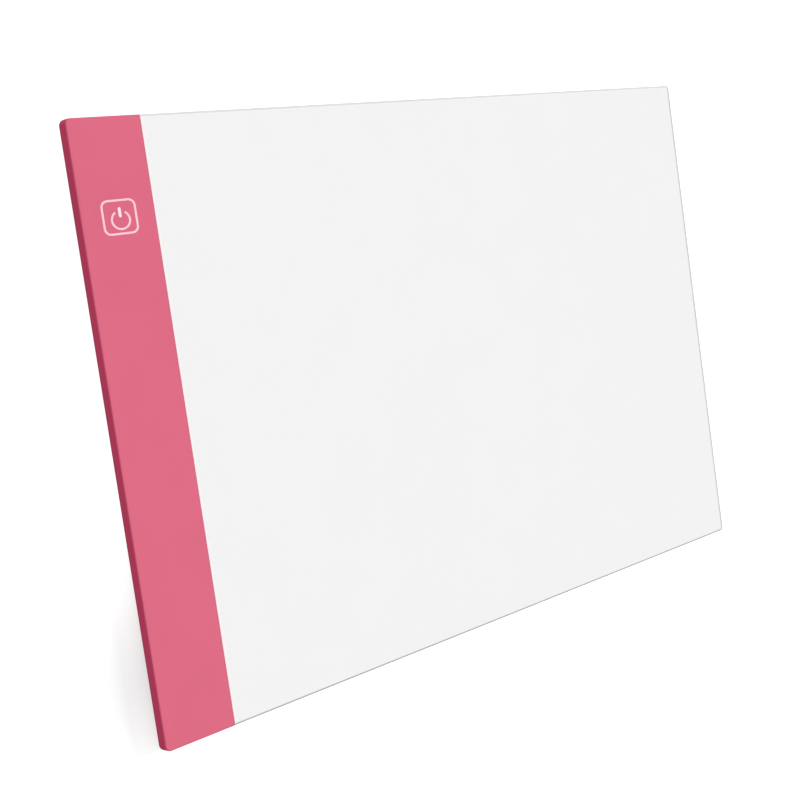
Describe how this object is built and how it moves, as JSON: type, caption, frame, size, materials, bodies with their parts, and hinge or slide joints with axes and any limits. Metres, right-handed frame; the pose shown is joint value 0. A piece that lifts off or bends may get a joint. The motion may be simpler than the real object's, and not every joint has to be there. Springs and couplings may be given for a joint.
{
  "type": "led tracing pad",
  "caption": "Thin edge-lit tracing pad: flat opal light surface, pink touch-key control strip along one short side, micro USB inlet at the strip's end and rubber feet.",
  "frame": {"origin": "centre of the footprint, on the plane that the rubber feet stand on", "axes": "+X along the pad away from the control strip, +Y up the page towards the socket end, +Z out of the light surface"},
  "size_m": [0.235, 0.15, 0.0045],
  "materials": {
    "white_housing": "fine satin white ABS",
    "pink_housing": "fine satin pink ABS, coloured through",
    "opal_acrylic": "opal white acrylic with a soft satin face",
    "clear_acrylic": "clear acrylic with polished edges",
    "white_film": "white optical film",
    "foot_rubber": "matt grey silicone rubber",
    "adhesive": "double-sided tape",
    "white_board": "white solder mask",
    "green_board": "green solder mask on glass fibre",
    "lamp_package": "white package with a pale yellow window",
    "black_plastic": "moulded black package",
    "steel": "nickel-plated stamped steel",
    "gold_contact": "gold-flashed contact",
    "grey_foam": "conductive foam",
    "ceramic_part": "sintered ceramic with plated ends",
    "red_lead": "red lead insulation",
    "black_lead": "black lead insulation"
  },
  "bodies": {
    "root": {"back_shell": "white_housing", "strip_cover": "pink_housing", "front_plate": "opal_acrylic", "front_tape": "adhesive", "foot_1": "foot_rubber", "foot_2": "foot_rubber", "foot_3": "foot_rubber", "foot_4": "foot_rubber", "reflector_sheet": "white_film", "light_guide": "clear_acrylic", "diffuser_sheet": "white_film", "led_board": "white_board", "led_board_tape": "adhesive", "led_01": "lamp_package", "led_02": "lamp_package", "led_03": "lamp_package", "led_04": "lamp_package", "led_05": "lamp_package", "led_06": "lamp_package", "led_07": "lamp_package", "led_08": "lamp_package", "led_09": "lamp_package", "led_10": "lamp_package", "led_11": "lamp_package", "led_12": "lamp_package", "led_13": "lamp_package", "led_14": "lamp_package", "led_15": "lamp_package", "led_16": "lamp_package", "led_17": "lamp_package", "led_18": "lamp_package", "led_19": "lamp_package", "led_20": "lamp_package", "led_21": "lamp_package", "led_22": "lamp_package", "led_23": "lamp_package", "led_24": "lamp_package", "control_board": "green_board", "touch_electrode": "grey_foam", "touch_chip": "black_plastic", "led_driver": "black_plastic", "driver_capacitor": "ceramic_part", "resistor_1": "black_plastic", "resistor_2": "black_plastic", "resistor_3": "black_plastic", "usb_shell": "steel", "usb_insulator": "black_plastic", "usb_contact_1": "gold_contact", "usb_contact_2": "gold_contact", "usb_contact_3": "gold_contact", "usb_contact_4": "gold_contact", "usb_contact_5": "gold_contact", "lead_red": "red_lead", "lead_black": "black_lead"}
  },
  "joints": []
}
